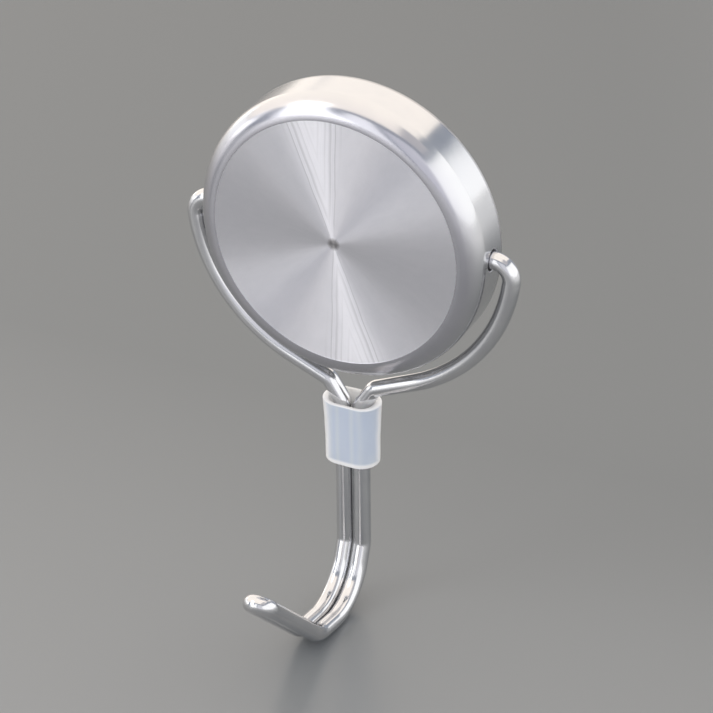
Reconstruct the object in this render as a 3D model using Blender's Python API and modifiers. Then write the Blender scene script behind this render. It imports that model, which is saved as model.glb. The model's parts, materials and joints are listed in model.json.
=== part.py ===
"""Magnetic hook: a drawn steel cup with a magnet in it, and a doubled wire hook hinged in the cup's wall.

Frame, in metres: the origin is the centre of the magnetic face, which looks along +Y. The cup's front
looks along -Y, and the hook hangs along -Z. Run with: blender --background --python part.py
"""

import math

import bpy
import bmesh
from mathutils import Vector

# Driving dimensions of the cup, a shallow can drawn from sheet
cup_diameter = 0.0500
cup_depth = 0.0096
sheet_thickness = 0.0008
face_edge_radius = 0.0036

# Driving dimensions of the magnet, its back iron and the ring that holds both in the cup
ring_width = 0.0036
back_iron_thickness = 0.0020
magnet_chamfer = 0.0004
iron_chamfer = 0.0003
ring_recess = 0.0005
ring_chamfer = 0.0004
seat_gap = 0.0003

# Driving dimensions of the wire and of its hinge in the cup's wall
wire_diameter = 0.0030
hinge_clearance = 0.0003
hinge_height = 0.00355
end_reach = 0.0022
end_bend_radius = 0.0030

# Driving dimensions of the bail, the two arms that go round the lower half of the cup
bail_gap = 0.0019
arm_start_angle = 7.0
arm_end_angle = 67.0
kink_half_width = 0.0041
kink_radius = 0.0020
neck_drop = 0.0037
neck_radius = 0.0025
run_gap = 0.0002

# Driving dimensions of the hook below the neck, where the two runs of wire lie side by side
stem_length = 0.0284
heel_angle = 21.0
heel_radius = 0.0030
sweep_radius = 0.0095
toe_reach = 0.0174
toe_drop = 0.0080
toe_angle = 10.0
toe_radius = 0.0065
tip_angle = 44.5
tip_length = 0.0228

# Driving dimensions of the soft sleeve that holds the two runs together
sleeve_length = 0.0117
sleeve_wall = 0.0014
sleeve_clearance = 0.0003
sleeve_flare = 0.0004
sleeve_edge_radius = 0.0003

# Counts that set how fine the round surfaces are
turn_steps = 96
edge_steps = 8
hole_sides = 32
wire_resolution = 4
bend_step_angle = 8.0
hairpin_step_angle = 22.5
sleeve_end_steps = 10
sleeve_rows = 6

# Angles over which an edge is shown sharp, and over which it is bevelled
sharp_edge_angle = 40.0
bevel_edge_angle = 60.0

# How far a cutter runs past what it cuts, and how near two points are one
overrun = 0.0020
merge_distance = 0.00001

# Sizes that follow from the driving dimensions
cup_radius = cup_diameter / 2
wire_radius = wire_diameter / 2
hole_radius = wire_radius + hinge_clearance
bail_radius = cup_radius + bail_gap + wire_radius
run_offset = wire_radius + run_gap / 2
neck_depth = bail_radius + neck_drop
inner_radius = cup_radius - sheet_thickness
inner_depth = cup_depth - sheet_thickness
ring_bore = inner_radius - seat_gap - ring_width
magnet_radius = ring_bore - seat_gap
iron_front = inner_depth - seat_gap
iron_back = iron_front - back_iron_thickness
magnet_thickness = iron_back - seat_gap


def make_collection(name):
    collection = bpy.data.collections.new(name)
    bpy.context.scene.collection.children.link(collection)
    return collection


def make_material(name, colour, metallic, roughness, alpha=1.0):
    material = bpy.data.materials.new(name)
    material.use_nodes = True
    shader = material.node_tree.nodes["Principled BSDF"]
    shader.inputs["Base Color"].default_value = (*colour, 1.0)
    shader.inputs["Metallic"].default_value = metallic
    shader.inputs["Roughness"].default_value = roughness
    shader.inputs["Alpha"].default_value = alpha
    return material


def add_object(name, data, collection, material=None):
    obj = bpy.data.objects.new(name, data)
    collection.objects.link(obj)
    if material is not None:
        data.materials.append(material)
    return obj


def shade_round(mesh):
    mesh.shade_smooth()
    mesh.set_sharp_from_angle(angle=math.radians(sharp_edge_angle))


def arc(centre, radius, start, end, steps):
    """Points on an arc in a turned profile, as (radius, height) pairs; the angles are in degrees."""
    angles = [math.radians(start + (end - start) * i / steps) for i in range(steps + 1)]
    return [(centre[0] + radius * math.cos(a), centre[1] + radius * math.sin(a)) for a in angles]


def turn(name, profile, collection, material, closed):
    """Turn a profile of (radius, height) pairs about the cup's axis, with heights towards the front."""
    mesh = bpy.data.meshes.new(name)
    links = [(i, i + 1) for i in range(len(profile) - 1)]
    if closed:
        links.append((len(profile) - 1, 0))
    mesh.from_pydata([(radius, 0, height) for radius, height in profile], links, [])
    obj = add_object(name, mesh, collection, material)
    obj.rotation_euler = (math.pi / 2, 0, 0)
    screw = obj.modifiers.new("Turn", "SCREW")
    screw.axis = "Z"
    screw.steps = turn_steps
    screw.render_steps = turn_steps
    screw.use_merge_vertices = True
    screw.merge_threshold = merge_distance
    screw.use_smooth_shade = True
    return obj


def cut(obj, cutter):
    boolean = obj.modifiers.new("Cut " + cutter.name, "BOOLEAN")
    boolean.operation = "DIFFERENCE"
    boolean.solver = "EXACT"
    boolean.object = cutter


def make_hinge_cutter(collection):
    """The drill that goes through both sides of the cup, along the hinge's axis."""
    bpy.ops.mesh.primitive_cylinder_add(
        vertices=hole_sides,
        radius=hole_radius,
        depth=cup_diameter + 2 * overrun,
        location=(0, -hinge_height, 0),
        rotation=(0, math.pi / 2, 0),
    )
    cutter = bpy.context.object
    cutter.name = "hinge_drill"
    for owner in list(cutter.users_collection):
        owner.objects.unlink(cutter)
    collection.objects.link(cutter)
    cutter.hide_render = True
    cutter.display_type = "WIRE"
    return cutter


def make_cup(collection, cutter):
    """A drawn can: flat face, rounded edge and straight wall, one sheet thick, with the two hinge holes."""
    steel = make_material("cup_steel", (0.62, 0.62, 0.63), 1.0, 0.28)
    corner = (cup_radius - face_edge_radius, cup_depth - face_edge_radius)
    skin = [(0, cup_depth)]
    skin += reversed(arc(corner, face_edge_radius, 0, 90, edge_steps))
    skin += [(cup_radius, 0)]
    cup = turn("cup", skin, collection, steel, closed=False)
    shell = cup.modifiers.new("Sheet", "SOLIDIFY")
    shell.thickness = sheet_thickness
    shell.offset = -1
    shell.use_even_offset = True
    cut(cup, cutter)
    return cup


def make_disc(name, height, front, chamfer, collection, material):
    """A chamfered disc on the cup's axis; front is its height above the magnetic face."""
    bpy.ops.mesh.primitive_cylinder_add(
        vertices=turn_steps,
        radius=magnet_radius,
        depth=height,
        location=(0, height / 2 - front, 0),
        rotation=(math.pi / 2, 0, 0),
    )
    disc = bpy.context.object
    disc.name = name
    disc.data.name = name
    for owner in list(disc.users_collection):
        owner.objects.unlink(disc)
    collection.objects.link(disc)
    disc.data.materials.append(material)
    shade_round(disc.data)
    bevel = disc.modifiers.new("Chamfer", "BEVEL")
    bevel.width = chamfer
    bevel.segments = 1
    bevel.limit_method = "ANGLE"
    bevel.angle_limit = math.radians(bevel_edge_angle)
    return disc


def make_ring(collection, cutter):
    """The moulded ring between magnet and wall, with a pocket on each side for the wire's end."""
    plastic = make_material("ring_plastic", (0.05, 0.05, 0.05), 0.0, 0.5)
    outside = inner_radius - seat_gap
    corner = (cup_radius - face_edge_radius, cup_depth - face_edge_radius)
    round_edge = arc(corner, face_edge_radius - sheet_thickness - seat_gap, 90, 0, edge_steps)
    outline = [(ring_bore, iron_front)]
    outline += round_edge
    outline += [(outside, ring_recess + ring_chamfer), (outside - ring_chamfer, ring_recess)]
    outline += [(ring_bore + ring_chamfer, ring_recess), (ring_bore, ring_recess + ring_chamfer)]
    ring = turn("spacer_ring", outline, collection, plastic, closed=True)
    cut(ring, cutter)
    return ring


def round_corners(corners, radii):
    """A path through the corners, each one rounded to its radius; the two ends stay sharp."""
    path = [corners[0]]
    for before, corner, after, radius in zip(corners, corners[1:], corners[2:], radii):
        back = (before - corner).normalized()
        ahead = (after - corner).normalized()
        turned = math.pi - back.angle(ahead)
        setback = radius * math.tan(turned / 2)
        centre = corner + (back + ahead).normalized() * (radius / math.cos(turned / 2))
        start = corner + back * setback - centre
        end = corner + ahead * setback - centre
        steps = max(2, math.ceil(math.degrees(turned) / bend_step_angle))
        for i in range(steps + 1):
            share = i / steps
            spread = math.sin((1 - share) * turned) * start + math.sin(share * turned) * end
            path.append(centre + spread / math.sin(turned))
    path.append(corners[-1])
    return path


def half_wire():
    """The centreline of the wire's +X half, from its end in the cup to the start of the tip's turn.

    It is measured from the hinge's axis. The arm's long curve is a corner between two lines that
    touch the bail's circle, rounded to the radius of that circle.
    """
    start = math.radians(arm_start_angle)
    end = math.radians(arm_end_angle)
    middle = (start + end) / 2
    reach = bail_radius / math.cos((end - start) / 2)
    kink_x = kink_half_width
    kink_z = (kink_x * math.cos(end) - bail_radius) / math.sin(end)
    heel_z = -neck_depth - stem_length
    toe_z = heel_z - toe_drop

    # The line down from the heel and the line back from the toe meet under the sweep
    heel = math.radians(heel_angle)
    toe = math.radians(toe_angle)
    along = toe_drop * math.cos(toe) + toe_reach * math.sin(toe)
    below = along / math.cos(heel - toe)
    sweep_y = -below * math.sin(heel)
    sweep_z = heel_z - below * math.cos(heel)

    tip = math.radians(tip_angle)
    tip_y = -toe_reach - tip_length * math.cos(tip)
    tip_z = toe_z + tip_length * math.sin(tip)
    corners = [
        Vector((inner_radius - end_reach, 0, 0)),
        Vector((bail_radius / math.cos(start), 0, 0)),
        Vector((reach * math.cos(middle), 0, -reach * math.sin(middle))),
        Vector((kink_x, 0, kink_z)),
        Vector((run_offset, 0, -neck_depth)),
        Vector((run_offset, 0, heel_z)),
        Vector((run_offset, sweep_y, sweep_z)),
        Vector((run_offset, -toe_reach, toe_z)),
        Vector((run_offset, tip_y, tip_z)),
    ]
    radii = [end_bend_radius, bail_radius, kink_radius, neck_radius, heel_radius, sweep_radius, toe_radius]
    return round_corners(corners, radii)


def make_wire(collection, hinge):
    """The hook: one wire, from a hole in the cup down to the tip, back up, and into the other hole."""
    steel = make_material("wire_steel", (0.70, 0.70, 0.71), 1.0, 0.12)
    right = half_wire()
    left = [Vector((-point.x, point.y, point.z)) for point in reversed(right)]
    tip = math.radians(tip_angle)
    outwards = Vector((0, -math.cos(tip), math.sin(tip)))
    centre = Vector((0, right[-1].y, right[-1].z))
    steps = math.ceil(180 / hairpin_step_angle)
    hairpin = []
    for i in range(1, steps):
        angle = math.pi * i / steps
        hairpin.append(centre + run_offset * (Vector((math.cos(angle), 0, 0)) + outwards * math.sin(angle)))
    path = right + hairpin + left

    curve = bpy.data.curves.new("hook_wire", "CURVE")
    curve.dimensions = "3D"
    curve.bevel_depth = wire_radius
    curve.bevel_resolution = wire_resolution
    curve.use_fill_caps = True
    spline = curve.splines.new("POLY")
    spline.points.add(len(path) - 1)
    for spot, point in zip(spline.points, path):
        spot.co = (*point, 1.0)
    wire = add_object("hook_wire", curve, collection, steel)
    wire.parent = hinge
    weld = wire.modifiers.new("Weld caps", "WELD")
    weld.merge_threshold = merge_distance
    return wire


def sleeve_section(half_length, radius):
    """The outline round two wires side by side: a half circle at each end of a flat stretch."""
    outline = []
    for side in (1, -1):
        for i in range(sleeve_end_steps + 1):
            angle = math.pi * (i / sleeve_end_steps - 0.5)
            x = side * (half_length + radius * math.cos(angle))
            outline.append((x, side * radius * math.sin(angle)))
    return outline


def make_sleeve(collection, hinge):
    """The soft tube over the neck: a bore round the two runs, flared where they part, with a thick wall."""
    soft = make_material("sleeve_plastic", (0.80, 0.86, 0.92), 0.0, 0.35, alpha=0.55)
    radius = wire_radius + sleeve_clearance
    work = bmesh.new()
    rows = []
    for row in range(sleeve_rows + 1):
        share = row / sleeve_rows
        widened = run_offset + sleeve_flare * share ** 2
        height = -neck_depth - sleeve_length * (1 - share)
        rows.append([work.verts.new((x, y, height)) for x, y in sleeve_section(widened, radius)])
    for lower, upper in zip(rows, rows[1:]):
        for i in range(len(lower)):
            j = (i + 1) % len(lower)
            work.faces.new((lower[i], lower[j], upper[j], upper[i]))
    mesh = bpy.data.meshes.new("sleeve")
    work.to_mesh(mesh)
    work.free()
    shade_round(mesh)
    sleeve = add_object("sleeve", mesh, collection, soft)
    sleeve.parent = hinge
    shell = sleeve.modifiers.new("Wall", "SOLIDIFY")
    shell.thickness = sleeve_wall
    shell.offset = 1
    shell.use_even_offset = True
    bevel = sleeve.modifiers.new("Soft edges", "BEVEL")
    bevel.width = sleeve_edge_radius
    bevel.segments = 2
    bevel.limit_method = "ANGLE"
    bevel.angle_limit = math.radians(bevel_edge_angle)
    return sleeve


def main():
    for obj in list(bpy.data.objects):
        bpy.data.objects.remove(obj, do_unlink=True)
    parts = make_collection("magnetic_hook")
    cutters = make_collection("cutters")
    drill = make_hinge_cutter(cutters)

    make_cup(parts, drill)
    iron = make_material("back_iron_steel", (0.35, 0.35, 0.36), 1.0, 0.45)
    make_disc("back_iron", back_iron_thickness, iron_front, iron_chamfer, parts, iron)
    ferrite = make_material("magnet_ferrite", (0.06, 0.06, 0.065), 0.2, 0.6)
    make_disc("magnet", magnet_thickness, magnet_thickness, magnet_chamfer, parts, ferrite)
    make_ring(parts, drill)

    hinge = add_object("hook_hinge", None, parts)
    hinge.location = (0, -hinge_height, 0)
    make_wire(parts, hinge)
    make_sleeve(parts, hinge)


main()
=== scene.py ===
"""Looks of the magnetic hook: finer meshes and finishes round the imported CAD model, a floor,
lights and a camera.

All places are in metres in the model's own frame: the origin is the centre of the magnetic face,
which looks along +Y, the cup's front looks along -Y, and the hook hangs along -Z.
"""

import json
import math

import bpy
from mathutils import Matrix, Vector, noise


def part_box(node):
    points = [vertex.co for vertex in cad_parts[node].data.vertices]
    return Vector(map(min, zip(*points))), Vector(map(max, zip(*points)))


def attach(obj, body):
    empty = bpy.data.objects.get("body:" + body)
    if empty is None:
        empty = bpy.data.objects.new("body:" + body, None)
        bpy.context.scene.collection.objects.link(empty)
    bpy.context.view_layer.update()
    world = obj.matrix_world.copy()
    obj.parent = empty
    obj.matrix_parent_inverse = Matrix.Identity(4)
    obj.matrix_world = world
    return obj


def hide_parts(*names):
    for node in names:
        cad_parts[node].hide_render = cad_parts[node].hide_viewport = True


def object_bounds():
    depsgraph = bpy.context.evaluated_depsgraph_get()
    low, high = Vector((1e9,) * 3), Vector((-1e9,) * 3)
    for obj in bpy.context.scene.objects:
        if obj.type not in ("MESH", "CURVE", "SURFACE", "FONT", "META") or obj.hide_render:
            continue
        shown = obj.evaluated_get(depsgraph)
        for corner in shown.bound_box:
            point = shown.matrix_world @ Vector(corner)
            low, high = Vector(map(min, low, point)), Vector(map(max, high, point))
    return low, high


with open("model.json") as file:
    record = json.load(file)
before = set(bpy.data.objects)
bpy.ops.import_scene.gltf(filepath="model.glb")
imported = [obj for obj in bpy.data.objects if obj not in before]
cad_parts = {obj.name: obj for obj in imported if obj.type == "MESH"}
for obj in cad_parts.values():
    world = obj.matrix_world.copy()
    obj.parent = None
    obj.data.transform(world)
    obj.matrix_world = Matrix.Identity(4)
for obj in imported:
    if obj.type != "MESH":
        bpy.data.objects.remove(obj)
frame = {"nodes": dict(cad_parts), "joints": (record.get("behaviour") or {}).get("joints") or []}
cad_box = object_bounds()

# Sizes that the frame gives
cup_low, cup_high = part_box("cup")
magnet_low, magnet_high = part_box("magnet")
_, ring_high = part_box("spacer_ring")
iron_low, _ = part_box("back_iron")
hinge = Vector(frame["joints"][0]["pos_m"])
cup_radius = cup_high.x
cup_depth = -cup_low.y
magnet_radius = magnet_high.x
magnet_thickness = -magnet_low.y
ring_radius = ring_high.x
ring_recess = -ring_high.y
iron_front = -iron_low.y

# Sizes of the cup's sheet, its edges and its hinge holes
sheet_thickness = 0.0008
face_edge_radius = 0.0036
face_step = 0.00004
rim_edge_radius = 0.00018
hole_radius = 0.0018
hole_chamfer = 0.0002

# Marks of the lathe on the cup's front: the angle at which they lie and how wide they fan out, in
# degrees, how far they wander, and how far they turn the direction in which light spreads. The
# fan lies where the front's bright wedge of reflected light falls, and the marks' colour there is
# partly painted highlight
chatter_angle = 9.8
chatter_width = 11.5
chatter_wander = 0.0022
chatter_sway = 0.15

# The magnet's chamfer, and how finely, how seldom and how far it is chipped
magnet_chamfer = 0.0004
chips_per_metre = 900
chip_level = 0.28
chip_size = 0.0009

# How soft the ring's edges are, which is also the radius of its groove
ring_softness = 0.0004

# Sizes of the wire, the same as in the CAD model, except where the two runs meet and for the tip,
# and how much a sharp bend flattens it
wire_radius = 0.0015
end_reach = 0.0022
end_bend_radius = 0.0030
bail_gap = 0.0019
arm_start_angle = 7.0
arm_end_angle = 67.0
kink_half_width = 0.0041
kink_radius = 0.0020
neck_drop = 0.0037
neck_radius = 0.0025
meeting_depth = 0.0010
run_gap = 0.0002
stem_length = 0.0284
heel_angle = 21.0
heel_radius = 0.0030
sweep_radius = 0.0095
toe_reach = 0.0174
toe_drop = 0.0080
toe_angle = 10.0
toe_radius = 0.0065
tip_angle = 44.5
tip_length = 0.02273
wire_end_chamfer = 0.0003
bend_flattening = 0.035

# Sizes of the soft sleeve, and how uneven its surface is
sleeve_length = 0.0117
sleeve_wall = 0.0014
sleeve_clearance = 0.0003
sleeve_flare = 0.0004
sleeve_edge_radius = 0.0002
mouth_depth = 0.0030
mouth_front = 0.0008
mouth_side = 0.0003
sleeve_dent = 0.00006
dents_per_metre = 350

# Sizes that follow
bail_radius = cup_radius + bail_gap + wire_radius
run_offset = wire_radius + run_gap / 2
neck_depth = bail_radius + neck_drop
inner_radius = cup_radius - sheet_thickness
face_radius = cup_radius - face_edge_radius

# How fine the meshes are
turn_steps = 288
edge_steps = 20
rim_steps = 5
wall_rows = 16
drill_sides = 96
wire_sides = 40
bend_step_angle = 2.5
fewest_bend_steps = 4
hairpin_steps = 36
sleeve_end_steps = 28
sleeve_flat_steps = 8
sleeve_rows = 24
sleeve_corner_steps = 5
sharp_angle = 40.0
nearly_zero = 1e-9
nearly_straight = 1e-6

# Finishes that several materials share: the ranges over which a noise that stays near 0.5 changes
# the colour and the roughness, the colours of buffed steel, the quarter turn from along a turned
# surface to across it, and the depth of fine relief
colour_range = (0.35, 0.65)
roughness_range = (0.3, 0.7)
buffed_dark = (0.655, 0.66, 0.68)
buffed_light = (0.71, 0.71, 0.72)
quarter_turn = 0.25
fine_relief = 0.00001

# The camera, fitted to the photograph: where it looks from, how far off, and how it is framed
camera_azimuth = 26.492
camera_elevation = 31.0934
camera_roll = -0.6792
camera_distance = 0.450
camera_right = 0.003692
camera_up = -0.017748
camera_lens = 143.36
camera_sensor = 36.0
camera_clip_start = 0.01

# The studio: where the floor lies and how far it reaches, how bright the walls look, and how many
# times farther off the lamps stand than they are laid out
floor_height = cad_box[0].z
floor_reach = 60.0
world_colour = (0.38, 0.41, 0.47)
lamp_reach = 14.0


# Mesh helpers


def add_mesh(name, vertices, faces, smooth_angle=sharp_angle):
    """Add a mesh that is shaded smooth, except at edges sharper than the angle in degrees."""
    mesh = bpy.data.meshes.new(name)
    mesh.from_pydata(vertices, [], faces)
    mesh.validate()
    mesh.shade_smooth()
    mesh.set_sharp_from_angle(angle=math.radians(smooth_angle))
    obj = bpy.data.objects.new(name, mesh)
    bpy.context.scene.collection.objects.link(obj)
    return obj


def arc(centre, radius, start, end, steps):
    """Points on an arc of a profile, as pairs; the angles are in degrees."""
    angles = [math.radians(start + (end - start) * i / steps) for i in range(steps + 1)]
    return [(centre[0] + radius * math.cos(a), centre[1] + radius * math.sin(a)) for a in angles]


def line(start, end, steps):
    """Points after start on a straight stretch of a profile."""
    return [tuple(a + (b - a) * i / steps for a, b in zip(start, end)) for i in range(1, steps + 1)]


def lathe(name, profile, closed, smooth_angle=sharp_angle):
    """Turn (radius, height) pairs about the cup's axis; heights run from the magnetic face to the
    front."""
    vertices, circles = [], []
    for radius, height in profile:
        if radius < nearly_zero:
            circles.append([len(vertices)] * turn_steps)
            vertices.append((0, -height, 0))
            continue
        circles.append(list(range(len(vertices), len(vertices) + turn_steps)))
        for i in range(turn_steps):
            angle = 2 * math.pi * i / turn_steps
            vertices.append((radius * math.sin(angle), -height, radius * math.cos(angle)))
    pairs = list(zip(circles, circles[1:]))
    if closed:
        pairs.append((circles[-1], circles[0]))
    faces = []
    for a, b in pairs:
        for i in range(turn_steps):
            j = (i + 1) % turn_steps
            corners = [a[i], a[j], b[j], b[i]]
            face = [v for k, v in enumerate(corners) if v != corners[k - 1]]
            if len(face) > 2:
                faces.append(face)
    return add_mesh(name, vertices, faces, smooth_angle)


def capped_rows(rows, sides):
    """The faces between rows of vertices round a rod, first along it and then at its two ends."""
    faces = []
    for row in range(rows - 1):
        here, after = row * sides, (row + 1) * sides
        for i in range(sides):
            j = (i + 1) % sides
            faces.append([here + i, here + j, after + j, after + i])
    faces.append(list(range(sides))[::-1])
    faces.append([(rows - 1) * sides + i for i in range(sides)])
    return faces


def drill(name, profile):
    """A cutter turned about the hinge's axis, from (distance along X, radius) pairs."""
    vertices = []
    for x, radius in profile:
        for i in range(drill_sides):
            angle = 2 * math.pi * i / drill_sides
            forward, above = radius * math.cos(angle), radius * math.sin(angle)
            vertices.append((x, hinge.y + forward, hinge.z + above))
    return add_mesh(name, vertices, capped_rows(len(profile), drill_sides))


def cut(obj, cutters):
    """Cut the cutters out of the mesh for good, and remove them."""
    for cutter in cutters:
        boolean = obj.modifiers.new("Cut", "BOOLEAN")
        boolean.operation = "DIFFERENCE"
        boolean.solver = "EXACT"
        boolean.object = cutter
    bpy.context.view_layer.update()
    evaluated = obj.evaluated_get(bpy.context.evaluated_depsgraph_get())
    mesh = bpy.data.meshes.new_from_object(evaluated)
    obj.modifiers.clear()
    obj.data = mesh
    for cutter in cutters:
        bpy.data.objects.remove(cutter)


# Shader helpers


def new_material(name):
    """Add a material, and return it with its node tree and its shader."""
    material = bpy.data.materials.new(name)
    material.use_nodes = True
    return material, material.node_tree, material.node_tree.nodes["Principled BSDF"]


def fill(tree, sockets, values):
    """Link the sockets to those values that are sockets, and set them to the others."""
    for key, value in values.items():
        if isinstance(value, bpy.types.NodeSocket):
            tree.links.new(value, sockets[key])
        else:
            sockets[key].default_value = value


def node(tree, kind, inputs=None, **settings):
    """Add a node, set its properties, and set or link its inputs."""
    made = tree.nodes.new("ShaderNode" + kind)
    for key, value in settings.items():
        setattr(made, key, value)
    fill(tree, made.inputs, inputs or {})
    return made


def calc(tree, operation, a, b=0.0):
    return node(tree, "Math", {0: a, 1: b}, operation=operation).outputs[0]


def centred(tree, value):
    """A noise moved from round 0.5 to round 0."""
    return calc(tree, "SUBTRACT", value, 0.5)


def weighted(tree, *terms):
    """The sum of (value, weight) pairs."""
    parts = [calc(tree, "MULTIPLY", value, weight) for value, weight in terms]
    total = parts[0]
    for part in parts[1:]:
        total = calc(tree, "ADD", total, part)
    return total


def ramp(tree, value, low, high, to_low, to_high, kind="LINEAR"):
    """Map a value from one range to another, clamped."""
    source = {"Value": value, "From Min": low, "From Max": high}
    inputs = {**source, "To Min": to_low, "To Max": to_high}
    return node(tree, "MapRange", inputs, interpolation_type=kind).outputs["Result"]


def blend_colours(tree, factor, first, second):
    """The first colour where the factor is 0, the second where it is 1."""
    inputs = {"Factor": factor}
    for key, value in ((6, first), (7, second)):
        inputs[key] = value if isinstance(value, bpy.types.NodeSocket) else (*value, 1.0)
    return node(tree, "Mix", inputs, data_type="RGBA").outputs[2]


def vary(tree, shader, tone, dark, light, smooth, rough):
    """Let colour and roughness follow a tone, a noise that stays near 0.5; returns the colour."""
    colour = blend_colours(tree, ramp(tree, tone, *colour_range, 0, 1), dark, light)
    roughness = ramp(tree, tone, *roughness_range, smooth, rough)
    fill(tree, shader.inputs, {"Base Color": colour, "Roughness": roughness})
    return colour


def grain(tree, vector, scale, detail=3.0, stretch=(1, 1, 1), roughness=0.5):
    """Noise over a vector that is stretched first; returns values round 0.5."""
    mapping = node(tree, "Mapping", {"Vector": vector, "Scale": stretch})
    inputs = {"Vector": mapping.outputs[0], "Scale": scale, "Detail": detail}
    return node(tree, "TexNoise", {**inputs, "Roughness": roughness}).outputs[0]


def rings(tree, value, per_metre, detail=2.0):
    """Noise along one value, which makes rings or bands."""
    inputs = {"W": calc(tree, "MULTIPLY", value, per_metre), "Scale": 1.0, "Detail": detail}
    return node(tree, "TexNoise", inputs, noise_dimensions="1D").outputs[0]


def object_coordinates(tree):
    return node(tree, "TexCoord").outputs["Object"]


def axis_coordinates(tree):
    """The radius from the cup's axis, and the unit direction away from it."""
    parts = node(tree, "SeparateXYZ", {0: object_coordinates(tree)})
    flat = node(tree, "CombineXYZ", {0: parts.outputs[0], 2: parts.outputs[2]}).outputs[0]
    radius = node(tree, "VectorMath", {0: flat}, operation="LENGTH").outputs["Value"]
    away = node(tree, "VectorMath", {0: flat}, operation="NORMALIZE").outputs[0]
    return radius, away


def turned_tangent(tree):
    """The direction round the cup's axis."""
    return node(tree, "Tangent", direction_type="RADIAL", axis="Y").outputs[0]


def bump(tree, shader, height, distance=fine_relief):
    made = node(tree, "Bump", {"Height": height, "Distance": distance, "Strength": 1.0})
    fill(tree, shader.inputs, {"Normal": made.outputs[0]})


# Materials


def front_steel():
    """The cup's front, faced on a lathe so that light spreads along the radius."""
    material, tree, shader = new_material("front_steel")
    where = object_coordinates(tree)
    radius, away = axis_coordinates(tree)
    grooves = rings(tree, radius, 5200, detail=3.0)

    # Chatter marks: V-shaped lines that fan out to both sides of one line through the middle,
    # broad soft ones and fine scored ones. They are coloured in only within the fan where the
    # bright wedge of reflected light lies, so they are partly real lathe marks and partly painted
    # highlight
    parts = node(tree, "SeparateXYZ", {0: away})
    angle = calc(tree, "ARCTAN2", parts.outputs[0], parts.outputs[2])
    turned = calc(tree, "ADD", angle, math.radians(chatter_angle))
    aside = calc(tree, "ARCSINE", calc(tree, "ABSOLUTE", calc(tree, "SINE", turned)))
    share = calc(tree, "DIVIDE", aside, math.radians(chatter_width))
    wander = calc(tree, "MULTIPLY", centred(tree, grain(tree, where, 170, 2.0)), chatter_wander)
    inwards = calc(tree, "MULTIPLY", radius, calc(tree, "SUBTRACT", 1.0, share))
    inwards = calc(tree, "ADD", inwards, wander)
    chatter = centred(tree, rings(tree, inwards, 700))
    uneven = rings(tree, inwards, 150, detail=0.0)
    scores = calc(tree, "SINE", weighted(tree, (inwards, 1250), (uneven, 5.0)))
    scored = ramp(tree, scores, 0.35, 1.0, 0, -0.16)
    streak = calc(tree, "ADD", calc(tree, "MULTIPLY", chatter, 0.3), scored)
    # The fan: the window round the bright wedge of reflected light, where the painted highlight of
    # the marks goes
    inner, outer = ramp(tree, share, 0.1, 0.8, 0.3, 1), ramp(tree, share, 1.0, 1.4, 1, 0)
    fan = calc(tree, "MULTIPLY", inner, outer)

    # Rays that turn slowly with the radius, grooves and handling marks
    swirl = node(tree, "CombineXYZ", {1: calc(tree, "MULTIPLY", radius, 25)}).outputs[0]
    spun = node(tree, "VectorMath", {0: away, 1: swirl}, operation="ADD").outputs[0]
    rays = grain(tree, spun, 9.0, detail=7.0, roughness=0.65)
    handled = grain(tree, where, 90)
    tone = weighted(tree, (rays, 0.55), (grooves, 0.12), (handled, 0.33))
    finish = vary(tree, shader, tone, (0.805, 0.805, 0.85), (0.87, 0.865, 0.91), 0.42, 0.48)

    # The marks over that finish, partly painted highlight within the fan, and the dark pip that the
    # lathe left in the middle
    value = calc(tree, "ADD", 1.0, calc(tree, "MULTIPLY", fan, streak))
    marked = node(tree, "HueSaturation", {"Color": finish, "Value": value}).outputs[0]
    uneven_radius = calc(tree, "ADD", radius, calc(tree, "MULTIPLY", rays, 0.0004))
    pip_radius, pip_border = 0.0008, 0.0014
    pip = ramp(tree, uneven_radius, pip_radius, pip_border, 0, 1)
    colour = blend_colours(tree, pip, (0.36, 0.35, 0.36), marked)

    # The chatter marks turn the direction in which light spreads
    sway = calc(tree, "MULTIPLY", chatter, chatter_sway)
    lean = node(tree, "VectorMath", {0: away, "Scale": sway}, operation="SCALE").outputs[0]
    turn = turned_tangent(tree)
    swayed = node(tree, "VectorMath", {0: turn, 1: lean}, operation="ADD").outputs[0]
    tangent = node(tree, "VectorMath", {0: swayed}, operation="NORMALIZE").outputs[0]
    fill(tree, shader.inputs, {
        "Base Color": colour,
        "Tangent": tangent,
        "Metallic": 0.80,
        "Anisotropic": 1.0,
        "Anisotropic Rotation": quarter_turn,
    })
    bump(tree, shader, calc(tree, "MULTIPLY", grooves, 0.15))
    return material


def edge_steel():
    """The cup's rounded edge: buffed, and a little darker and bluer towards the face."""
    material, tree, shader = new_material("edge_steel")
    where = object_coordinates(tree)
    radius, _ = axis_coordinates(tree)
    handled = grain(tree, where, 90)
    rubbed = ramp(tree, handled, *colour_range, 0, 1)
    near_face = blend_colours(tree, rubbed, (0.57, 0.568, 0.612), (0.62, 0.615, 0.655))
    near_wall = blend_colours(tree, rubbed, buffed_dark, buffed_light)
    blend_start, blend_end = face_radius + 0.0017, cup_radius - 0.0001
    outwards = ramp(tree, radius, blend_start, blend_end, 0, 1)
    fill(tree, shader.inputs, {
        "Base Color": blend_colours(tree, outwards, near_face, near_wall),
        "Roughness": ramp(tree, handled, *roughness_range, 0.16, 0.23),
        "Tangent": turned_tangent(tree),
        "Metallic": 1.0,
        "Anisotropic": 0.3,
        "Anisotropic Rotation": quarter_turn,
    })
    bump(tree, shader, grain(tree, where, 240, 2.0))
    return material


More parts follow.
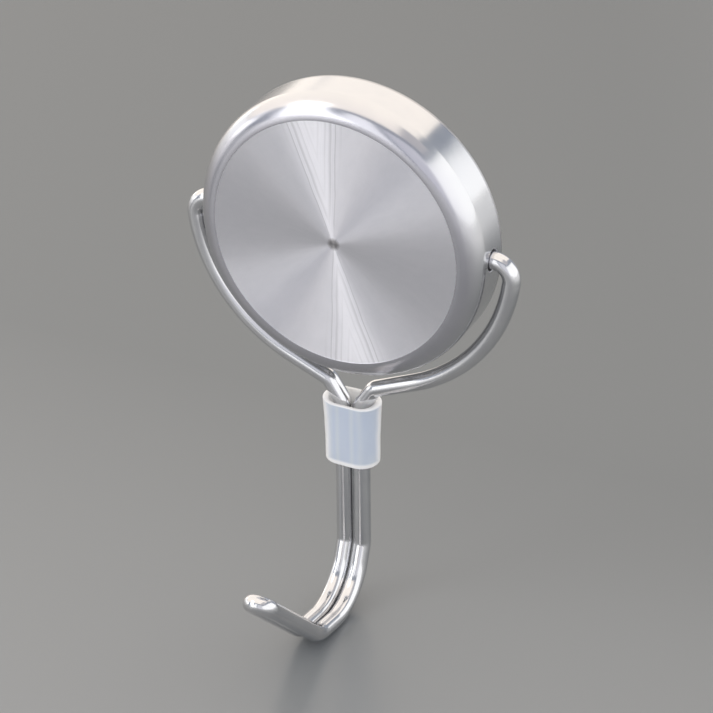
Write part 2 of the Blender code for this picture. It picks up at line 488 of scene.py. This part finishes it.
def wall_steel():
    """The cup's side wall: drawn and buffed bright, with faint lines round the cup."""
    material, tree, shader = new_material("wall_steel")
    where = object_coordinates(tree)
    height = node(tree, "SeparateXYZ", {0: where}).outputs[1]
    lines = rings(tree, height, 6000, detail=3.0)
    haze = grain(tree, where, 160, detail=4.0)
    tone = weighted(tree, (lines, 0.35), (haze, 0.65))
    vary(tree, shader, tone, buffed_dark, buffed_light, 0.12, 0.20)
    fill(tree, shader.inputs, {
        "Tangent": turned_tangent(tree),
        "Metallic": 1.0,
        "Anisotropic": 0.4,
        "Anisotropic Rotation": quarter_turn,
    })
    bump(tree, shader, grain(tree, where, 240, 2.0))
    return material


def drawn_steel():
    """The inside of the cup and its cut rim, as the press left them."""
    material, tree, shader = new_material("drawn_steel")
    scuffs = grain(tree, object_coordinates(tree), 500, detail=5.0, stretch=(1, 4, 1))
    fill(tree, shader.inputs, {
        "Base Color": blend_colours(tree, scuffs, (0.42, 0.42, 0.43), (0.58, 0.58, 0.59)),
        "Roughness": ramp(tree, scuffs, *roughness_range, 0.24, 0.42),
        "Metallic": 1.0,
    })
    bump(tree, shader, scuffs)
    return material


def wire_steel():
    """Bright drawn wire: fine lines along its length, with a few rubbed spots."""
    material, tree, shader = new_material("wire_steel_bright")
    along = node(tree, "UVMap", uv_map="wire").outputs[0]
    lines = grain(tree, along, 900, stretch=(0.03, 3.0, 1))
    rubbed = grain(tree, object_coordinates(tree), 220, detail=4.0)
    tone = weighted(tree, (lines, 0.5), (rubbed, 0.5))
    vary(tree, shader, tone, (0.645, 0.647, 0.668), (0.735, 0.737, 0.745), 0.11, 0.18)
    fill(tree, shader.inputs, {"Metallic": 1.0})
    bump(tree, shader, lines, distance=0.000003)
    return material


def sleeve_plastic():
    """Milky soft tube, cut to length: a little light goes through it, the wires inside show as
    paler stripes of painted highlight, it is painted whiter at its cut ends as painted glow and
    where it is seen edge-on, partly for its cloudy wall and partly as painted highlight, and its
    bore is painted paler as painted light."""
    material, tree, shader = new_material("sleeve_plastic_milky")
    where = object_coordinates(tree)
    parts = node(tree, "SeparateXYZ", {0: where})

    # It is painted white at the top cut and at the bottom one, as painted glow, and where its side
    # is seen edge-on, partly for its cloudy wall and partly as painted highlight
    half = sleeve_length / 2
    above = calc(tree, "SUBTRACT", parts.outputs[2], hinge.z - neck_depth - half)
    top = ramp(tree, above, half - 0.0003, half - 0.00005, 0, 1)
    bottom = ramp(tree, above, 0.0011 - half, 0.0006 - half, 0, 1)
    facing = node(tree, "LayerWeight", {"Blend": 0.5}).outputs["Facing"]
    edge_on = ramp(tree, facing, 0.40, 0.62, 0, 0.9)
    milky_and_painted_light = calc(tree, "MAXIMUM", calc(tree, "MAXIMUM", top, bottom), edge_on)

    # The distance from the bore's middle line tells the inside from the outside
    aside = calc(tree, "ABSOLUTE", parts.outputs[0])
    flat = run_offset + sleeve_flare / 2
    beyond = calc(tree, "MAXIMUM", calc(tree, "SUBTRACT", aside, flat), 0.0)
    forward = calc(tree, "SUBTRACT", parts.outputs[1], hinge.y)
    across = node(tree, "CombineXYZ", {0: beyond, 1: forward}).outputs[0]
    outwards = node(tree, "VectorMath", {0: across}, operation="LENGTH").outputs["Value"]
    outer = wire_radius + sleeve_clearance + sleeve_wall
    inside = ramp(tree, outwards, outer - 0.0005, outer - 0.0002, 1, 0)

    # Paler stripes over each wire, painted highlights of the wires' glints seen through the wall,
    # as (place, half width, strength), and clouds drawn out along it
    stripes = []
    for place, width, strength in ((0.0013, 0.0006, 0.5), (0.0027, 0.0007, 0.35)):
        off = calc(tree, "ABSOLUTE", calc(tree, "SUBTRACT", aside, place))
        stripes.append(ramp(tree, off, 0.0, width, strength, 0))
    cloud = grain(tree, where, 260, stretch=(1, 1, 0.25))
    stripe = calc(tree, "MAXIMUM", *stripes)
    through = calc(tree, "ADD", stripe, calc(tree, "MULTIPLY", cloud, 0.9))
    # The body's colour: a random cloudy tone, with the painted highlights of the wires over it
    colour = blend_colours(tree, through, (0.685, 0.785, 0.985), (0.855, 0.925, 1.0))
    # The bore is painted paler than the outside, as painted light that stands for light let in
    # through the wall
    colour = blend_colours(tree, inside, colour, (0.93, 0.97, 1.0))
    solid = calc(tree, "MAXIMUM", milky_and_painted_light, inside)
    fill(tree, shader.inputs, {
        # White at the cut ends and the edge-on sides: painted glow and painted highlight
        "Base Color": blend_colours(tree, milky_and_painted_light, colour, (0.99, 0.99, 1.0)),
        "Roughness": ramp(tree, cloud, *roughness_range, 0.04, 0.08),
        "Transmission Weight": ramp(tree, solid, 0, 1, 0.25, 0.0),
        "Subsurface Weight": inside,
        "Subsurface Scale": 0.004,
        "Subsurface Radius": (1.0, 1.0, 1.0),
        "Metallic": 0.0,
        "IOR": 1.45,
        "Sheen Weight": 1.0,
        "Sheen Roughness": 0.45,
    })
    bump(tree, shader, grain(tree, where, 500, stretch=(1, 1, 0.15)))
    return material


def ferrite():
    """Sintered ferrite, ground flat: dark, fine pits and faint grinding lines."""
    material, tree, shader = new_material("ferrite_ground")
    where = object_coordinates(tree)
    ground = grain(tree, where, 1500, stretch=(0.12, 1, 1))
    pits = grain(tree, where, 2600, detail=2.0)
    tone = weighted(tree, (ground, 0.6), (pits, 0.4))
    vary(tree, shader, tone, (0.062, 0.062, 0.066), (0.098, 0.098, 0.102), 0.42, 0.62)
    fill(tree, shader.inputs, {"Metallic": 0.15})
    bump(tree, shader, tone, distance=0.00004)
    return material


def ring_plastic():
    """Moulded black plastic with a fine spark texture."""
    material, tree, shader = new_material("ring_plastic_moulded")
    where = object_coordinates(tree)
    spark = grain(tree, where, 3500)
    flow = grain(tree, where, 150)
    fill(tree, shader.inputs, {
        "Base Color": blend_colours(tree, flow, (0.028, 0.028, 0.03), (0.05, 0.05, 0.053)),
        "Roughness": ramp(tree, flow, *roughness_range, 0.42, 0.55),
    })
    bump(tree, shader, spark, distance=0.00003)
    return material


def zinc_plate():
    """The back iron's plating, which nothing shows once the magnet is in."""
    material, tree, shader = new_material("zinc_plate")
    spangle = node(tree, "TexVoronoi", {"Vector": object_coordinates(tree), "Scale": 900})
    tone = node(tree, "SeparateColor", {0: spangle.outputs[1]}).outputs[0]
    fill(tree, shader.inputs, {
        "Base Color": blend_colours(tree, tone, (0.42, 0.43, 0.45), (0.52, 0.53, 0.55)),
        "Roughness": ramp(tree, tone, 0, 1, 0.32, 0.45),
        "Metallic": 1.0,
    })
    return material


# Pieces


def analytic_normals(obj):
    """Give the cup's outside the exact normals of its turned shape, so that the holes leave no
    ripples."""
    sideways, forwards = 0.995, -0.999
    edge_depth = cup_depth - face_edge_radius
    mesh = obj.data
    normals = [Vector() for _ in mesh.loops]
    for face in mesh.polygons:
        centre = face.center
        radius = math.hypot(centre.x, centre.z)
        outwards = face.normal.x * centre.x + face.normal.z * centre.z
        radial = outwards / max(radius, nearly_zero)
        for index in face.loop_indices:
            spot = mesh.vertices[mesh.loops[index].vertex_index].co
            if radial > sideways and radius > inner_radius + sheet_thickness / 2:
                normals[index] = Vector((spot.x, 0, spot.z)).normalized()
            elif face.normal.y < forwards and radius < face_radius:
                normals[index] = Vector((0, -1, 0))
            elif radius > face_radius and centre.y < -edge_depth and face.normal.y < 0:
                reach = math.hypot(spot.x, spot.z)
                out = reach - face_radius
                depth = spot.y + edge_depth
                normal = Vector((spot.x / reach * out, depth, spot.z / reach * out))
                normals[index] = normal.normalized()
    mesh.normals_split_custom_set([tuple(normal) for normal in normals])


def make_cup():
    """The drawn can, with its faced front, rounded edge, rolled rim and two countersunk holes."""
    edge = (face_radius, cup_depth - face_edge_radius)
    rim = rim_edge_radius
    front = cup_depth - face_step
    profile = [(0, front), (face_radius / 2, front), (face_radius - face_step, front)]
    edge_start = len(profile) - 1
    profile += arc(edge, face_edge_radius, 90, 0, edge_steps)
    wall_start = len(profile) - 1
    profile += line((cup_radius, edge[1]), (cup_radius, rim), wall_rows)[:-1]
    rim_start = len(profile) - 1
    profile += arc((cup_radius - rim, rim), rim, 0, -90, rim_steps)
    profile += arc((inner_radius + rim, rim), rim, -90, -180, rim_steps)
    profile += line((inner_radius, rim), (inner_radius, edge[1]), wall_rows)[:-1]
    profile += arc(edge, face_edge_radius - sheet_thickness, 0, 90, edge_steps)
    profile += [(0, cup_depth - sheet_thickness)]
    cup = lathe("drawn_cup", profile, closed=False, smooth_angle=50)
    for material in (front_steel(), edge_steel(), wall_steel(), drawn_steel()):
        cup.data.materials.append(material)
    for face in cup.data.polygons:
        circle = face.index // turn_steps
        starts = (edge_start, wall_start, rim_start)
        face.material_index = sum(circle >= start for start in starts)
    overrun = 0.002
    right = [
        (inner_radius - overrun, hole_radius),
        (cup_radius - hole_chamfer, hole_radius),
        (cup_radius + overrun, hole_radius + hole_chamfer + overrun),
    ]
    left = [(-x, radius) for x, radius in reversed(right)]
    cut(cup, [drill("right_drill", right), drill("left_drill", left)])
    analytic_normals(cup)
    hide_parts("cup")
    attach(cup, "magnet_cup")


def make_magnet():
    """The magnet's disc, with chamfers that are chipped here and there as sintered ones are."""
    chamfer = magnet_chamfer
    face_rows, chamfer_rows, side_rows = 12, 4, 6
    profile = [(0, 0), (magnet_radius / 2, 0)]
    profile += line(profile[-1], (magnet_radius - chamfer, 0), face_rows)
    profile += line(profile[-1], (magnet_radius, chamfer), chamfer_rows)
    profile += line(profile[-1], (magnet_radius, magnet_thickness - chamfer), side_rows)
    profile += [(magnet_radius - chamfer, magnet_thickness), (0, magnet_thickness)]
    magnet = lathe("magnet_disc", profile[::-1], closed=False, smooth_angle=30)
    brittle = 1.5 * chamfer
    for vertex in magnet.data.vertices:
        radius = math.hypot(vertex.co.x, vertex.co.z)
        if radius > magnet_radius - brittle and vertex.co.y > -brittle:
            chip = max(0.0, noise.noise(vertex.co * chips_per_metre) - chip_level) * chip_size
            vertex.co.x *= 1 - chip / radius
            vertex.co.z *= 1 - chip / radius
            vertex.co.y -= chip / 2
    magnet.data.materials.append(ferrite())
    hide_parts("magnet")
    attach(magnet, "magnet_cup")


def make_ring():
    """The moulded ring, with soft edges, a shallow groove and a pocket on each side for the
    wire's end."""
    gap = inner_radius - ring_radius
    bore = magnet_radius + gap
    soft = ring_softness
    corner = (face_radius, cup_depth - face_edge_radius)
    middle = (bore + ring_radius) / 2
    corner_steps, soft_steps, groove_steps = 12, 6, 8
    outline = [(bore, iron_front)]
    outline += arc(corner, face_edge_radius - sheet_thickness - gap, 90, 0, corner_steps)
    outline += arc((ring_radius - soft, ring_recess + soft), soft, 0, -90, soft_steps)
    outline += arc((middle, ring_recess), soft, 0, 180, groove_steps)
    outline += arc((bore + soft, ring_recess + soft), soft, -90, -180, soft_steps)
    ring = lathe("moulded_ring", outline, closed=True)
    overrun = 0.001
    reach = cup_radius + overrun
    cut(ring, [drill("ring_drill", [(-reach, hole_radius), (reach, hole_radius)])])
    ring.data.set_sharp_from_angle(angle=math.radians(sharp_angle))
    ring.data.materials.clear()
    ring.data.materials.append(ring_plastic())
    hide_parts("spacer_ring")
    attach(ring, "magnet_cup")


def round_corners(corners, radii):
    """Points with curvature along a path through the corners, each one rounded to its radius."""
    path = [(corners[0], 0.0)]
    for before, corner, after, radius in zip(corners, corners[1:], corners[2:], radii):
        back = (before - corner).normalized()
        ahead = (after - corner).normalized()
        turned = math.pi - back.angle(ahead)
        setback = radius * math.tan(turned / 2)
        centre = corner + (back + ahead).normalized() * (radius / math.cos(turned / 2))
        start = corner + back * setback - centre
        end = corner + ahead * setback - centre
        steps = max(fewest_bend_steps, math.ceil(math.degrees(turned) / bend_step_angle))
        for i in range(steps + 1):
            share = i / steps
            spread = math.sin((1 - share) * turned) * start + math.sin(share * turned) * end
            path.append((centre + spread / math.sin(turned), 1 / radius))
    path.append((corners[-1], 0.0))
    return path


def half_wire():
    """The centreline of the wire's +X half, measured from the hinge's axis."""
    start = math.radians(arm_start_angle)
    end = math.radians(arm_end_angle)
    middle = (start + end) / 2
    reach = bail_radius / math.cos((end - start) / 2)
    kink_z = (kink_half_width * math.cos(end) - bail_radius) / math.sin(end)
    heel_z = -neck_depth - stem_length
    toe_z = heel_z - toe_drop
    heel = math.radians(heel_angle)
    toe = math.radians(toe_angle)
    below = (toe_drop * math.cos(toe) + toe_reach * math.sin(toe)) / math.cos(heel - toe)
    tip = math.radians(tip_angle)
    tip_y = -toe_reach - tip_length * math.cos(tip)
    corners = [
        Vector((inner_radius - end_reach, 0, 0)),
        Vector((bail_radius / math.cos(start), 0, 0)),
        Vector((reach * math.cos(middle), 0, -reach * math.sin(middle))),
        Vector((kink_half_width, 0, kink_z)),
        Vector((run_offset, 0, -neck_depth - meeting_depth)),
        Vector((run_offset, 0, heel_z)),
        Vector((run_offset, -below * math.sin(heel), heel_z - below * math.cos(heel))),
        Vector((run_offset, -toe_reach, toe_z)),
        Vector((run_offset, tip_y, toe_z + tip_length * math.sin(tip))),
    ]
    radii = [end_bend_radius, bail_radius, kink_radius, neck_radius]
    radii += [heel_radius, sweep_radius, toe_radius]
    return round_corners(corners, radii)


def tube(name, path):
    """A round wire along (point, curvature) pairs, a little flattened where it bends sharply."""
    points = [point for point, _ in path]
    last = len(path) - 1
    ahead = []
    for i in range(len(path)):
        ahead.append((points[min(i + 1, last)] - points[max(i - 1, 0)]).normalized())
    side = Vector((0, 1, 0))
    vertices, lengths = [], []
    length = 0.0
    for i, (point, curvature) in enumerate(path):
        if i:
            length += (point - points[i - 1]).length
            side = ahead[i - 1].rotation_difference(ahead[i]) @ side
        side = (side - ahead[i] * side.dot(ahead[i])).normalized()
        across = ahead[i].cross(side)
        lengths.append(length)
        radius = wire_radius - (wire_end_chamfer if i in (0, last) else 0.0)
        bent = Vector()
        if 0 < i < last:
            bent = (points[i + 1] - point).normalized() - (point - points[i - 1]).normalized()
        bent = bent.normalized() if bent.length > nearly_straight else Vector()
        flat = bend_flattening * min(1.0, curvature * kink_radius)
        for k in range(wire_sides):
            angle = 2 * math.pi * k / wire_sides
            offset = (side * math.cos(angle) + across * math.sin(angle)) * radius
            offset -= bent * bent.dot(offset) * flat
            vertices.append(point + offset + hinge)
    obj = add_mesh(name, vertices, capped_rows(len(path), wire_sides), 50)
    layer = obj.data.uv_layers.new(name="wire")
    side_width = 2 * math.pi * wire_radius / wire_sides
    for face in list(obj.data.polygons)[:last * wire_sides]:
        i, k = divmod(face.index, wire_sides)
        near, far = lengths[i], lengths[i + 1]
        corners = [(near, k), (near, k + 1), (far, k + 1), (far, k)]
        for index, (u, v) in zip(face.loop_indices, corners):
            layer.data[index].uv = (u, v * side_width)
    return obj


def make_wire():
    """The hook: one wire from a hole in the cup down to the tip, back up, and into the other
    hole."""
    right = half_wire()
    right.insert(1, (right[0][0] + Vector((wire_end_chamfer, 0, 0)), 0.0))
    tip = math.radians(tip_angle)
    outwards = Vector((0, -math.cos(tip), math.sin(tip)))
    centre = Vector((0, right[-1][0].y, right[-1][0].z))
    hairpin = []
    for i in range(1, hairpin_steps):
        angle = math.pi * i / hairpin_steps
        away = Vector((math.cos(angle), 0, 0)) + outwards * math.sin(angle)
        hairpin.append((centre + run_offset * away, 0.0))
    left = [(Vector((-point.x, point.y, point.z)), bend) for point, bend in reversed(right)]
    wire = tube("bent_wire", right + hairpin + left)
    wire.data.materials.append(wire_steel())
    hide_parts("hook_wire")
    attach(wire, "hook")


def make_sleeve():
    """The soft tube over the neck: an oval bore round the two wires, a thick wall and softly cut
    ends."""
    bore = wire_radius + sleeve_clearance

    # The oval, as (place along its flat, outwards along X, outwards along Y)
    oval = []
    for side in (1, -1):
        for i in range(sleeve_end_steps + 1):
            angle = math.pi * (i / sleeve_end_steps - 0.5)
            oval.append((side, side * math.cos(angle), side * math.sin(angle)))
        for i in range(1, sleeve_flat_steps):
            oval.append((side * (1 - 2 * i / sleeve_flat_steps), 0.0, float(side)))

    # The wall's section, as (depth from the bore, height): up the bore and down the outside
    top = -neck_depth
    bottom = top - sleeve_length
    edge = sleeve_edge_radius
    low, high, outer = bottom + edge, top - edge, sleeve_wall - edge
    section = [(0.0, low)] + line((0.0, low), (0.0, high), sleeve_rows)
    section += arc((edge, high), edge, 180, 90, sleeve_corner_steps)[1:]
    section += arc((outer, high), edge, 90, 0, sleeve_corner_steps)[1:]
    section += line((sleeve_wall, high), (sleeve_wall, low), sleeve_rows)
    section += arc((outer, low), edge, 0, -90, sleeve_corner_steps)[1:]
    section += arc((edge, low), edge, 270, 180, sleeve_corner_steps)[1:-1]

    vertices, faces = [], []
    for depth, height in section:
        share = (height - bottom) / sleeve_length
        half = run_offset + sleeve_flare * share ** 2
        mouth = max(0.0, (height - top + mouth_depth) / mouth_depth) ** 2
        thin = 1 - depth / sleeve_wall
        deep = bore + depth + mouth * mouth_front * thin
        wide = bore + depth + mouth * mouth_side * thin
        for along, x, y in oval:
            spot = Vector((along * half + x * wide, y * deep, height))
            uneven = noise.noise(spot * dents_per_metre) * (depth / sleeve_wall)
            dent = sleeve_dent * (1 + uneven)
            spot.x -= x * dent
            spot.y -= y * dent
            vertices.append(spot + hinge)
    count = len(oval)
    for row in range(len(section)):
        here, after = row * count, (row + 1) % len(section) * count
        for i in range(count):
            j = (i + 1) % count
            faces.append([here + i, after + i, after + j, here + j])
    sleeve = add_mesh("soft_sleeve", vertices, faces, 60)
    sleeve.data.materials.append(sleeve_plastic())
    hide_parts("sleeve")
    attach(sleeve, "hook")


def finish_back_iron():
    """Give the back iron's CAD solid its plating."""
    iron = frame["nodes"]["back_iron"]
    iron.data.materials.clear()
    iron.data.materials.append(zinc_plate())


# The studio


def floor_material():
    """A grey table, with painted shade that makes it darker towards the back, and painted light
    that makes it a little lighter just in front and paler far off in front and to both sides,
    outside the photograph's frame, where only reflections and other views show it."""
    material, tree, shader = new_material("floor_grey")
    parts = node(tree, "SeparateXYZ", {0: object_coordinates(tree)})
    aside, back = parts.outputs[0], parts.outputs[1]
    rightwards = weighted(tree, (aside, 1.0), (back, 0.5))
    leftwards = weighted(tree, (aside, -1.0), (back, -0.62))
    # Painted light and shade: dark is painted shade at the back, light is painted light just in
    # front, and the pale colour is painted light far off in front and to both sides
    dark, middle, light = (0.080, 0.091, 0.100), (0.203, 0.217, 0.224), (0.248, 0.260, 0.270)
    painted_light_pale = (0.52, 0.54, 0.56)
    colour = blend_colours(tree, ramp(tree, back, -0.15, 0.30, 0, 1), middle, dark)
    colour = blend_colours(tree, ramp(tree, back, -0.08, 0.05, 0, 1), light, colour)
    fades = ((back, -0.08, -0.50), (rightwards, 0.06, 0.40), (leftwards, 0.12, 0.80))
    for place, near, far in fades:
        beyond = ramp(tree, place, near, far, 0, 1, kind="SMOOTHSTEP")
        colour = blend_colours(tree, beyond, colour, painted_light_pale)
    fill(tree, shader.inputs, {"Base Color": colour, "Roughness": 0.27, "IOR": 1.52})
    return material


def make_floor():
    signs = ((-1, -1), (1, -1), (1, 1), (-1, 1))
    corners = [(x * floor_reach, y * floor_reach, floor_height) for x, y in signs]
    floor = add_mesh("floor", corners, [(0, 1, 2, 3)])
    floor.data.materials.append(floor_material())


def softbox(name, centre, size, facing, upright, shown):
    """A rectangular lamp that shines along facing, laid out as seen from the cup and then moved
    far off.

    A ray goes on through a lamp to the world, so the lamp adds only what its shown brightness has
    beyond the world's.
    """
    width, height = size[0] * lamp_reach, size[1] * lamp_reach
    added = [max(0.0, a - b) for a, b in zip(shown, world_colour)]
    data = bpy.data.lights.new(name, "AREA")
    data.shape = "RECTANGLE"
    data.size, data.size_y = width, height
    data.energy = max(added) * math.pi * width * height
    data.color = [value / max(added) for value in added]
    lamp = bpy.data.objects.new(name, data)
    back = -Vector(facing).normalized()
    side = Vector(upright).cross(back).normalized()
    lamp.matrix_world = Matrix((side, back.cross(side), back)).transposed().to_4x4()
    lamp.location = Vector(centre) * lamp_reach
    lamp.visible_camera = False
    bpy.context.scene.collection.objects.link(lamp)


def make_lights():
    """The lamps, each with its place, its size, where it faces, its upright, and how it shows."""
    white, cream = (1.42, 1.42, 1.42), (1.38, 1.28, 1.18)
    strip, side, panel = (2.3, 2.3, 2.32), (1.45, 1.45, 1.48), (0.86, 0.86, 0.92)
    corner, edge = (1.10, 1.10, 1.15), (0.66, 0.64, 0.66)
    up, north, down = (0, 0, 1), (0, 1, 0), (0, 0, -1)
    tilted, tilted_up = (0.60, 0.674, -0.426), (-0.302, 0.282, 0.8)
    for lamp in (
        ("right_panel", (0.50, 0.0, 0.215), (1.74, 0.57), (-1, 0, 0), up, white),
        ("left_panel", (-0.50, 0.0, 0.02), (0.58, 0.18), (1, 0, 0), up, white),
        ("back_left_panel", (-0.63, 0.63, 0.065), (0.84, 0.27), (0.7, -0.7, 0), up, cream),
        ("ceiling", (-1.475, 1.0, 0.75), (3.45, 3.2), down, north, cream),
        ("ceiling_corner", (0.345, 1.35, 0.75), (0.19, 2.50), down, north, cream),
        ("ceiling_edge", (0.425, -0.25, 0.75), (0.35, 0.70), down, north, edge),
        ("front_strip", (-0.514, -0.577, 0.365), (0.33, 0.98), tilted, tilted_up, strip),
        ("front_side", (-0.19, -0.78, 0.30), (0.24, 0.74), (0.235, 0.972, 0), up, side),
        ("front_panel", (0.20, -0.75, 0.28), (0.42, 0.66), (-0.26, 0.966, 0), up, panel),
        ("left_front_panel", (-0.93, -0.34, 0.20), (0.24, 0.42), (0.94, 0.34, 0), up, corner),
    ):
        softbox(*lamp)


def make_world():
    """Plain, dim studio walls."""
    world = bpy.data.worlds.new("studio")
    bpy.context.scene.world = world
    world.use_nodes = True
    world.node_tree.nodes["Background"].inputs[0].default_value = (*world_colour, 1.0)


def make_camera():
    """The photograph's camera, aimed past the middle of the cup's front."""
    azimuth = math.radians(camera_azimuth)
    elevation = math.radians(camera_elevation)
    level = math.cos(elevation)
    back = Vector((math.sin(azimuth) * level, -math.cos(azimuth) * level, math.sin(elevation)))
    right = Vector((math.cos(azimuth), math.sin(azimuth), 0))
    right = Matrix.Rotation(math.radians(camera_roll), 3, back) @ right
    up = back.cross(right)
    face = Vector((0, -cup_depth, 0))
    data = bpy.data.cameras.new("camera")
    data.lens = camera_lens
    data.sensor_width = camera_sensor
    data.clip_start = camera_clip_start
    camera = bpy.data.objects.new("camera", data)
    camera.matrix_world = Matrix((right, up, back)).transposed().to_4x4()
    camera.location = face + back * camera_distance + right * camera_right + up * camera_up
    bpy.context.scene.collection.objects.link(camera)
    bpy.context.scene.camera = camera


def main():
    make_camera()
    make_world()
    make_lights()
    make_floor()
    make_cup()
    make_magnet()
    make_ring()
    finish_back_iron()
    make_wire()
    make_sleeve()
    bpy.context.scene.view_settings.view_transform = "Standard"


main()
